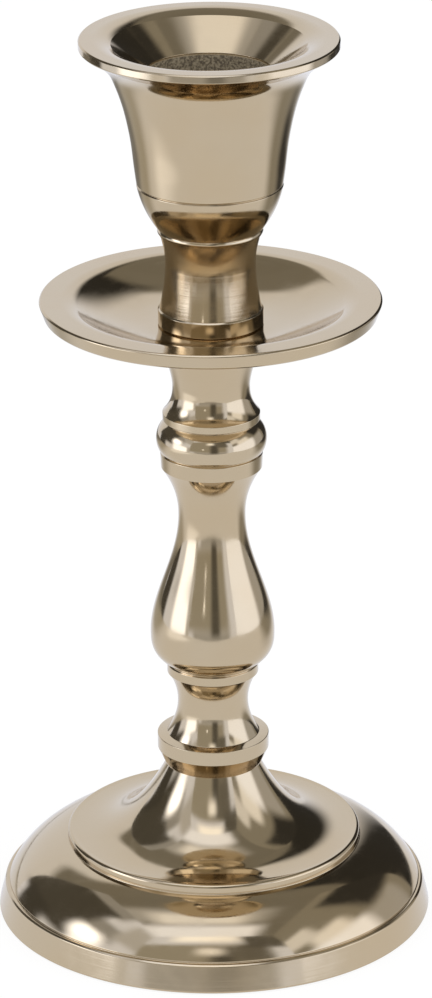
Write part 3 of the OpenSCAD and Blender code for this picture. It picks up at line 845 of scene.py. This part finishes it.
class HOLDER_OT_stem(bpy.types.Operator):
    """Makes the baluster stem, from its flange to the top that carries the pan"""
    bl_idname = "holder.stem"
    bl_label = "Stem"

    def execute(self, context):
        scene = context.scene
        stem, studs = scene.holder_stem, scene.holder_fasteners
        line = stem.line_cut
        foot_z, pan_z = scene.holder_foot.seat_z, scene.holder_pan.under_z
        flange_z = foot_z + stem.flange_taper_h + stem.flange_band_h
        neck_z = flange_z + stem.flange_ledge_h
        neck_waist_z = neck_z + stem.low_neck_down_h
        ring_z = neck_waist_z + stem.low_neck_up_h
        vase_z = ring_z + stem.ring_h
        belly_z = vase_z + stem.vase_low_h
        waist_z = belly_z + stem.vase_high_h
        band_z = waist_z + stem.waist_flare_h
        knop_z = band_z + stem.band_h
        lip_z = knop_z + stem.knop_h
        top_neck_z = lip_z + stem.lip_h
        top_waist_z = top_neck_z + stem.top_neck_down_h
        hole_r = studs.stud_r + studs.play
        low_hole_z, top_hole_z = foot_z + stem.stud_in_foot, pan_z - stem.stud_in_pan
        low_hole = inner([Spot(0.0, low_hole_z)]) + threaded(hole_r, low_hole_z, foot_z, studs)
        flange = [Spot(stem.flange_seat_r, foot_z), Spot(stem.flange_r, foot_z + stem.flange_taper_h),
                  Spot(stem.flange_r, flange_z)]
        low_neck = waisted(Spot(stem.low_neck_foot_r, neck_z), Spot(stem.low_neck_r, neck_waist_z),
                           Spot(stem.low_neck_top_r, ring_z), stem.low_neck_power)
        ring = [Spot(stem.ring_r, ring_z + line), Spot(stem.ring_r, vase_z - line),
                Spot(stem.ring_r - line, vase_z)]
        vase = back(upright(Spot(stem.vase_r, belly_z), Spot(stem.ring_r, vase_z + line), stem.vase_power))
        vase += ogee(Spot(stem.vase_r, belly_z), Spot(stem.waist_r, waist_z), stem.vase_lean)
        vase += upright(Spot(stem.waist_r, waist_z), Spot(stem.band_r, band_z), stem.waist_power)
        band = [Spot(stem.band_r + line / 2, knop_z - line), Spot(stem.band_r - line, knop_z)]
        knop_rise = stem.knop_r - (stem.band_r + stem.lip_r) / 2
        knop = bow(Spot(stem.band_r + line, knop_z + line), Spot(stem.lip_r - line, lip_z - line), knop_rise)
        lip = [Spot(stem.lip_r - 2 * line, lip_z), Spot(stem.lip_r, lip_z + line),
               Spot(stem.lip_r, top_neck_z)]
        top_neck = waisted(Spot(stem.lip_r - line, top_neck_z + line), Spot(stem.top_neck_r, top_waist_z),
                           Spot(stem.top_r, pan_z), stem.neck_down_power, stem.neck_up_power)
        top_hole = threaded(hole_r, pan_z, top_hole_z, studs) + inner([Spot(0.0, top_hole_z)])
        outline = low_hole + flange + low_neck + ring + vase + band + knop + lip + top_neck + top_hole
        piece = turned_piece("stem_turned", outline, stem.edge_round, stem.segments, plated_metal(),
                             pitch=studs.pitch)
        stand_for(piece, "stem", "stand")
        return {"FINISHED"}


class HOLDER_OT_pan(bpy.types.Operator):
    """Makes the dished drip pan"""
    bl_idname = "holder.pan"
    bl_label = "Drip pan"

    def execute(self, context):
        scene = context.scene
        pan, line = scene.holder_pan, scene.holder_stem.line_cut
        floor_z = scene.holder_cup.bottom_z
        hole_r = scene.holder_fasteners.stud_r + scene.holder_foot.hole_gap
        middle = (pan.under_z + floor_z) / 2
        rim_under_z = pan.rim_z - pan.rim_t
        flat_r = scene.holder_stem.top_r + line
        edge_r = pan.outer_r - pan.rim_lean
        outline = [Spot(hole_r, middle), Spot(hole_r, pan.under_z), Spot(flat_r, pan.under_z)]
        outline += level(Spot(flat_r, pan.under_z), Spot(edge_r - pan.rim_t, rim_under_z), pan.under_power)
        outline += [Spot(edge_r - pan.rim_round, rim_under_z), Spot(edge_r, rim_under_z + pan.rim_round),
                    Spot(pan.outer_r, pan.rim_z - pan.rim_round),
                    Spot(pan.outer_r - pan.rim_round, pan.rim_z)]
        dish_r = pan.outer_r - pan.rim_w
        share = (dish_r - pan.dish_round - pan.floor_r) / (dish_r - pan.floor_r)
        dish_end_z = floor_z + (pan.rim_z - floor_z) * share ** pan.dish_power
        dish_end = Spot(dish_r - pan.dish_round, dish_end_z)
        outline += bow(Spot(dish_r + pan.dish_round, pan.rim_z), dish_end, pan.dish_round / 7)
        outline += back(level(Spot(pan.floor_r, floor_z), dish_end, pan.dish_power, steps=40))
        outline += [Spot(hole_r, floor_z), Spot(hole_r, middle)]
        piece = turned_piece("drip_pan_turned", outline, pan.edge_round, pan.segments, plated_metal())
        stand_for(piece, "drip_pan", "pan")
        return {"FINISHED"}


class HOLDER_OT_cup(bpy.types.Operator):
    """Makes the bell-shaped candle cup with its funnel and bore"""
    bl_idname = "holder.cup"
    bl_label = "Candle cup"

    # Points of the bell's flare, as shares of its widening and of its height
    bell_shares = ((0, 0), (0.04, 0.12), (0.104, 0.33), (0.22, 0.55), (0.37, 0.73), (0.515, 0.85),
                   (0.745, 0.94), (1, 1))

    def execute(self, context):
        scene = context.scene
        cup, studs, line = scene.holder_cup, scene.holder_fasteners, scene.holder_stem.line_cut
        neck_z = cup.bottom_z + cup.foot_h
        waist_z = neck_z + cup.neck_down_h
        bead_z = waist_z + cup.neck_up_h
        bowl_z = bead_z + cup.bead_h
        bell_z = bowl_z + cup.bowl_h
        mouth_z = bell_z + cup.bell_h
        bore_top_z = cup.top_z - cup.lip_drop - cup.funnel_h
        bore_z = bore_top_z - cup.bore_depth
        hole_r, hole_z = studs.stud_r + studs.play, cup.bottom_z + cup.stud_hole
        flat_r = cup.mouth_r - cup.flat_w
        lip_in_r = flat_r - cup.lip_w
        outline = inner([Spot(0.0, hole_z)]) + threaded(hole_r, hole_z, cup.bottom_z, studs)
        outline += [Spot(cup.foot_r - line, cup.bottom_z), Spot(cup.foot_r, cup.bottom_z + line),
                    Spot(cup.foot_r, neck_z - line), Spot(cup.foot_r - line, neck_z)]
        neck = waisted(Spot(cup.neck_foot_r, neck_z), Spot(cup.neck_r, waist_z),
                       Spot(cup.neck_top_r, bead_z), cup.neck_power)
        outline += inner(neck, scene.holder_finish.faint_lines)
        outline += bow(Spot(cup.bead_r - line, bead_z), Spot(cup.bead_r - line, bowl_z), line)
        outline += bow(Spot(cup.bead_r, bowl_z), Spot(cup.bowl_r, bell_z), cup.bowl_rise)
        outline += [Spot(cup.bowl_r - line, bell_z + cup.bell_line_w / 2)]
        outline += through(Spot(cup.bowl_r, bell_z + cup.bell_line_w), Spot(cup.mouth_r - line, mouth_z),
                           self.bell_shares)
        outline += [Spot(cup.mouth_r, mouth_z + line), Spot(cup.mouth_r, cup.top_z - line),
                    Spot(cup.mouth_r - line, cup.top_z)]
        outline += level(Spot(flat_r, cup.top_z), Spot(lip_in_r, cup.top_z - cup.lip_drop), cup.lip_power)
        outline += [Spot(cup.bore_r, bore_top_z)]
        outline += inner([Spot(cup.bore_r, bore_top_z - 2 * line), Spot(cup.bore_r, bore_z),
                          Spot(0.0, bore_z)])
        piece = turned_piece("candle_cup_turned", outline, cup.edge_round, cup.segments, plated_metal(),
                             pitch=studs.pitch)
        stand_for(piece, "candle_cup", "cup")
        return {"FINISHED"}


class HOLDER_OT_studs(bpy.types.Operator):
    """Makes the two threaded studs"""
    bl_idname = "holder.studs"
    bl_label = "Studs"

    def execute(self, context):
        studs = context.scene.holder_fasteners
        depth = studs.thread_depth
        core_r = studs.stud_r - depth
        for node, body, low, high in (("foot_stud", "stand", FOOT_STUD_LOW.z, FOOT_STUD_HIGH.z),
                                      ("cup_stud", "cup", CUP_STUD_LOW.z, CUP_STUD_HIGH.z)):
            wall = threaded(studs.stud_r, low + depth, high - depth, studs)
            wall = [replace(spot, thread=depth) for spot in wall]
            outline = [Spot(0.0, low), Spot(core_r, low)] + wall + [Spot(core_r, high), Spot(0.0, high)]
            piece = turned_piece(node + "_threaded", outline, studs.edge_round / 2, studs.segments,
                                 zinc_steel(), pitch=studs.pitch)
            stand_for(piece, node, body)
        return {"FINISHED"}


class HOLDER_OT_washers(bpy.types.Operator):
    """Makes the wide washer and the split spring washer"""
    bl_idname = "holder.washers"
    bl_label = "Washers"

    def execute(self, context):
        scene = context.scene
        studs = scene.holder_fasteners
        hole_r = studs.stud_r + scene.holder_foot.hole_gap
        section = ring_section(hole_r, WASHER_HIGH.x, WASHER_LOW.z, WASHER_HIGH.z)
        wide = turned_piece("foot_washer_stamped", section, studs.edge_round, studs.segments, zinc_steel())
        stand_for(wide, "foot_washer", "stand")
        self.make_spring(studs, hole_r)
        return {"FINISHED"}

    def make_spring(self, studs, hole_r):
        """One open turn of a wire of square section, with its ends capped."""
        section = ring_section(hole_r, -SPRING_LOW.x, SPRING_LOW.z, SPRING_HIGH.z)
        section = distinct(soften(section, studs.edge_round))[:-1]
        rows, steps = len(section), studs.segments
        points = []
        for i in range(steps + 1):
            for spot in section:
                half_split = math.asin(studs.split_w / 2 / spot.r)
                angle = half_split + (TURN - 2 * half_split) * i / steps
                points.append((spot.r * math.cos(angle), spot.r * math.sin(angle), spot.z))
        faces = []
        for here in range(0, steps * rows, rows):
            for k in range(rows):
                after = (k + 1) % rows
                faces.append((here + k, here + rows + k, here + rows + after, here + after))
        faces += [tuple(range(rows)), tuple(reversed(range(steps * rows, (steps + 1) * rows)))]
        piece = new_piece("spring_washer_split", points, faces=faces)
        piece.data.shade_smooth()
        piece.data.set_sharp_from_angle(angle=SHARP_TURN)
        piece.data.materials.append(zinc_steel())
        stand_for(piece, "spring_washer", "stand")


class HOLDER_OT_nut(bpy.types.Operator):
    """Makes the chamfered hexagon nut"""
    bl_idname = "holder.nut"
    bl_label = "Nut"

    def execute(self, context):
        studs = context.scene.holder_fasteners
        low, high = NUT_LOW.z, NUT_HIGH.z
        corner_r = studs.nut_flats / 2 / math.cos(TURN / 12)
        face_r, slope_h = corner_r - studs.nut_chamfer, studs.nut_chamfer / 2
        hole_r = studs.stud_r + studs.play
        bottom = level(Spot(face_r, low), Spot(corner_r, low + slope_h), 1.0, steps=12)
        top = level(Spot(corner_r, high - slope_h), Spot(face_r, high), 1.0, steps=12)
        hole = threaded(hole_r, high, low, studs)
        half = len(hole) // 2
        outline = hole[half:] + bottom + top + hole[:half + 1]
        piece = turned_piece("foot_nut_hex", outline, studs.edge_round / 4, studs.segments, zinc_steel(),
                             flats=studs.nut_flats, pitch=studs.pitch)
        stand_for(piece, "foot_nut", "stand")
        return {"FINISHED"}


def grey(light, warmth=0.0):
    """The colour of a light: neutral at warmth 0, browner over it and bluer under it."""
    return (light * (1 + warmth / 3), light, light * (1 - warmth))


@dataclass
class Patch:
    """A soft-edged patch of light on a wall or the floor. Its middle, half sizes and edge are in metres,
    and its light and warmth make its colour."""
    u: float
    v: float
    half_u: float
    half_v: float
    soft: float
    light: float
    warmth: float = 0.0


# The ends of an axis
LOW, HIGH = 0, 1
# How warm the light is on most of the tent
COOL, PLAIN, WARM = -0.25, -0.11, 0.06
# The floor's light in reflections, and its patches by X and Y
FLOOR_LIGHT = grey(0.94, PLAIN)
FLOOR_PATCHES = (
    Patch(0.50, 0.60, 0.38, 0.55, 0.05, 0.36, WARM),
    Patch(0.50, 0.66, 0.33, 0.47, 0.05, 0.06),
    Patch(-0.50, 0.60, 0.39, 0.51, 0.05, 0.52, WARM),
    Patch(-0.55, 0.75, 0.47, 0.50, 0.05, 0.25, WARM),
    Patch(-0.38, -0.13, 0.15, 0.13, 0.05, 1.4, -0.15),
    Patch(-0.02, -0.52, 0.12, 0.11, 0.05, 0.60, -0.05))
# Colour of the floor's matt part
FLOOR_MATT = grey(0.92)
# The tent's walls: the two axes along each, the end of the third axis where it stands, its base light
# and its patches
TENT_WALLS = {
    "tent_left": ("YZ", LOW, grey(1.1, COOL), (
        Patch(-0.10, 0.40, 0.14, 0.12, 0.05, 0.45, PLAIN),
        Patch(0.20, 0.80, 0.28, 0.15, 0.06, 0.45, PLAIN),
        Patch(-0.35, 0.60, 0.14, 0.22, 0.06, 0.70, PLAIN),
        Patch(0.225, 0.42, 0.245, 0.30, 0.04, 0.10, WARM),
        Patch(0.26, 0.08, 0.12, 0.12, 0.03, 0.08, WARM),
        Patch(-0.215, 0.09, 0.165, 0.09, 0.04, 2.5, COOL),
        Patch(-0.42, 0.08, 0.06, 0.14, 0.04, 0.75, PLAIN),
        Patch(-0.09, 0.26, 0.08, 0.065, 0.06, 3.9, COOL))),
    "tent_right": ("YZ", HIGH, grey(0.35, WARM), (
        Patch(0.18, 0.08, 0.17, 0.16, 0.05, 0.58, PLAIN),
        Patch(-0.14, 0.29, 0.14, 0.12, 0.05, 1.3, PLAIN),
        Patch(-0.22, 0.09, 0.29, 0.17, 0.045, 1.6, COOL),
        Patch(-0.34, 0.49, 0.16, 0.11, 0.05, 1.1, PLAIN),
        Patch(0.31, 0.50, 0.18, 0.24, 0.05, 0.05))),
    "tent_front": ("XZ", LOW, grey(1.1, COOL), (
        Patch(-0.02, 0.0, 0.30, 0.06, 0.05, 0.52, PLAIN),
        Patch(-0.13, 0.32, 0.41, 0.27, 0.06, 0.45, WARM),
        Patch(0.045, 0.28, 0.065, 0.25, 0.04, 0.13, WARM),
        Patch(0.20, 0.42, 0.11, 0.15, 0.05, 0.20, WARM),
        Patch(0.34, 0.74, 0.17, 0.23, 0.05, 0.15, WARM),
        Patch(-0.06, 0.81, 0.21, 0.13, 0.07, 1.8, PLAIN),
        Patch(-0.02, 0.435, 0.06, 0.06, 0.05, 1.6, PLAIN),
        Patch(-0.14, 0.175, 0.012, 0.02, 0.01, 2.0, PLAIN))),
    "tent_back": ("XZ", HIGH, grey(0.97, -0.13), (
        Patch(0.0, 0.78, 0.50, 0.25, 0.05, 0.26, WARM),
        Patch(-0.42, 0.46, 0.16, 0.10, 0.05, 0.25, WARM),
        Patch(0.33, 0.30, 0.20, 0.33, 0.05, 0.04))),
    "tent_top": ("XY", HIGH, grey(0.25, WARM), (
        Patch(-0.12, 0.03, 0.40, 0.15, 0.08, 0.60, PLAIN),
        Patch(-0.08, -0.04, 0.24, 0.12, 0.08, 1.3, PLAIN),
        Patch(-0.11, -0.37, 0.40, 0.18, 0.08, 1.5, COOL))),
}
# Where the lamps stand and how wide they are, in metres
LAMPS = {"lamp_left": (-0.6, -0.5, 0.7), "lamp_right": (0.7, -0.4, 0.6)}
LAMP_SIZE = 0.6
# Longer side of the camera's picture, in millimetres
PICTURE_SIDE = 36.0


class HOLDER_OT_studio(bpy.types.Operator):
    """Makes the floor, the light tent that the metal reflects, the lamps, the world and the camera"""
    bl_idname = "holder.studio"
    bl_label = "Studio"

    def execute(self, context):
        studio = context.scene.holder_studio
        self.make_floor(studio)
        self.make_tent(studio)
        self.make_lamps(studio)
        self.make_world(studio)
        self.make_camera(studio)
        return {"FINISHED"}

    def make_floor(self, studio):
        """A white floor that keeps the shadow and isn't seen from below. Reflections see painted patches of
        light and shade on it.
        """
        half = studio.floor
        floor = new_piece("floor", [(-half, -half, 0), (half, -half, 0), (half, half, 0), (-half, half, 0)],
                          faces=[(0, 1, 2, 3)])
        material, n, output = new_material("floor_white")
        seen, mirrored = self.rays(n)
        light = self.patched(n, "XY", FLOOR_LIGHT, FLOOR_PATCHES)
        matt = n.out("ShaderNodeBsdfDiffuse", {"Color": (*FLOOR_MATT, 1.0)})
        white = n.mix(mirrored, (studio.floor_white,) * 3, light)
        glow = n.out("ShaderNodeEmission", {"Color": white, "Strength": 1.0})
        share = n.larger(mirrored, n.times(seen, studio.floor_light))
        lit = n.out("ShaderNodeMixShader", {0: share, 1: matt, 2: glow})
        clear = n.out("ShaderNodeBsdfTransparent")
        under = n.out("ShaderNodeNewGeometry", output="Backfacing")
        n.feed(output.inputs["Surface"], n.out("ShaderNodeMixShader", {0: under, 1: lit, 2: clear}))
        floor.data.materials.append(material)

    def make_tent(self, studio):
        """The walls of a light tent, which only reflections see."""
        across_tent = (-studio.tent, studio.tent)
        reach = {"X": across_tent, "Y": across_tent, "Z": (0.0, studio.tent_h)}
        for name, (axes, end, base, patches) in TENT_WALLS.items():
            across = next(axis for axis in reach if axis not in axes)
            corners = []
            for i, k in ((LOW, LOW), (HIGH, LOW), (HIGH, HIGH), (LOW, HIGH)):
                place = {axes[0]: reach[axes[0]][i], axes[1]: reach[axes[1]][k], across: reach[across][end]}
                corners.append((place["X"], place["Y"], place["Z"]))
            wall = new_piece(name, corners, faces=[(0, 1, 2, 3)])
            material, n, output = new_material(name)
            light = self.patched(n, axes, base, patches)
            n.feed(output.inputs["Surface"], n.out("ShaderNodeEmission", {"Color": light, "Strength": 1.0}))
            wall.data.materials.append(material)
            for kind in ("camera", "diffuse", "transmission", "volume_scatter", "shadow"):
                setattr(wall, "visible_" + kind, False)

    @staticmethod
    def patched(n, axes, light, patches):
        """The light of a flat surface: soft patches over its base light."""
        parts = n.add("ShaderNodeSeparateXYZ", {0: n.out("ShaderNodeTexCoord", output="Object")}).outputs

        def within(axis, middle, half, soft):
            away = n.math("ABSOLUTE", n.minus(parts[axis], middle))
            return n.ramp(away, half - soft, half + soft, to_low=1.0, to_high=0.0)

        for patch in patches:
            share = n.times(within(axes[0], patch.u, patch.half_u, patch.soft),
                            within(axes[1], patch.v, patch.half_v, patch.soft))
            light = n.mix(share, light, grey(patch.light, patch.warmth))
        return light

    @staticmethod
    def rays(n):
        """Where a ray comes from the camera, and where it comes from a shiny or a clear surface."""
        path = n.add("ShaderNodeLightPath").outputs
        return path["Is Camera Ray"], n.larger(path["Is Glossy Ray"], path["Is Transmission Ray"])

    def make_lamps(self, studio):
        """Two wide soft lamps, which light the matt surfaces and cast the faint shadow."""
        for name, place in LAMPS.items():
            lamp = bpy.data.lights.new(name, "AREA")
            lamp.shape = "SQUARE"
            lamp.size = LAMP_SIZE
            lamp.energy = studio.lamp_power
            stand = bpy.data.objects.new(name, lamp)
            bpy.context.scene.collection.objects.link(stand)
            stand.location = place
            stand.rotation_euler = (-Vector(place)).to_track_quat("-Z", "Y").to_euler()
            stand.visible_glossy = False

    def make_world(self, studio):
        """A white world, a little dimmer on matt surfaces."""
        world = bpy.data.worlds.new("studio_white")
        bpy.context.scene.world = world
        world.use_nodes = True
        # Only rays that leave the tent find the world, so it isn't sampled through the tent's walls
        world.cycles.sampling_method = "NONE"
        world.node_tree.nodes.clear()
        n = NodeMaker(world.node_tree)
        bright = n.larger(*self.rays(n))
        strength = n.plus(studio.world_light, n.times(bright, 1.0 - studio.world_light))
        sky = n.out("ShaderNodeBackground", {"Color": (1.0, 1.0, 1.0, 1.0), "Strength": strength})
        n.add("ShaderNodeOutputWorld", {"Surface": sky})

    def make_camera(self, studio):
        """The camera at the photograph's angle."""
        camera = bpy.data.cameras.new("camera")
        camera.lens = studio.lens
        camera.sensor_width = PICTURE_SIDE
        camera.sensor_fit = "AUTO"
        stand = bpy.data.objects.new("camera", camera)
        bpy.context.scene.collection.objects.link(stand)
        pitch = Matrix.Rotation(math.radians(90 - studio.camera_down), 4, "X")
        roll = Matrix.Rotation(math.radians(-studio.camera_roll), 4, "Z")
        place = Matrix.Translation((studio.camera_x, -studio.camera_back, studio.camera_z))
        stand.matrix_world = place @ pitch @ roll
        bpy.context.scene.camera = stand
        bpy.context.scene.view_settings.view_transform = "Standard"


class HOLDER_PT_panel(bpy.types.Panel):
    """Lists the candle holder's pieces and sizes"""
    bl_idname = "HOLDER_PT_panel"
    bl_label = "Candle Holder"
    bl_space_type = "VIEW_3D"
    bl_region_type = "UI"
    bl_category = "Candle Holder"

    def draw(self, context):
        layout = self.layout
        for operator in OPERATORS:
            layout.operator(operator.bl_idname)
        for attribute, group in GROUPS.items():
            box = layout.box()
            box.label(text=group.__doc__)
            for name in group.__annotations__:
                box.prop(getattr(context.scene, attribute), name)


GROUPS = {
    "holder_foot": HolderFootSizes, "holder_stem": HolderStemSizes, "holder_pan": HolderPanSizes,
    "holder_cup": HolderCupSizes, "holder_fasteners": HolderFastenerSizes, "holder_felt": HolderFeltSizes,
    "holder_finish": HolderFinish, "holder_studio": HolderStudio,
}
OPERATORS = (HOLDER_OT_studio, HOLDER_OT_foot, HOLDER_OT_felt, HOLDER_OT_stem, HOLDER_OT_pan, HOLDER_OT_cup,
             HOLDER_OT_studs, HOLDER_OT_washers, HOLDER_OT_nut)


def register():
    for group in GROUPS.values():
        bpy.utils.register_class(group)
    for attribute, group in GROUPS.items():
        setattr(bpy.types.Scene, attribute, PointerProperty(type=group))
    for operator in OPERATORS:
        bpy.utils.register_class(operator)
    bpy.utils.register_class(HOLDER_PT_panel)


def unregister():
    bpy.utils.unregister_class(HOLDER_PT_panel)
    for operator in reversed(OPERATORS):
        bpy.utils.unregister_class(operator)
    for attribute, group in reversed(GROUPS.items()):
        delattr(bpy.types.Scene, attribute)
        bpy.utils.unregister_class(group)


def main():
    register()
    bpy.ops.holder.studio()
    bpy.ops.holder.foot()
    bpy.ops.holder.felt()
    bpy.ops.holder.stem()
    bpy.ops.holder.pan()
    bpy.ops.holder.cup()
    bpy.ops.holder.studs()
    bpy.ops.holder.washers()
    bpy.ops.holder.nut()


if __name__ == "__main__":
    main()
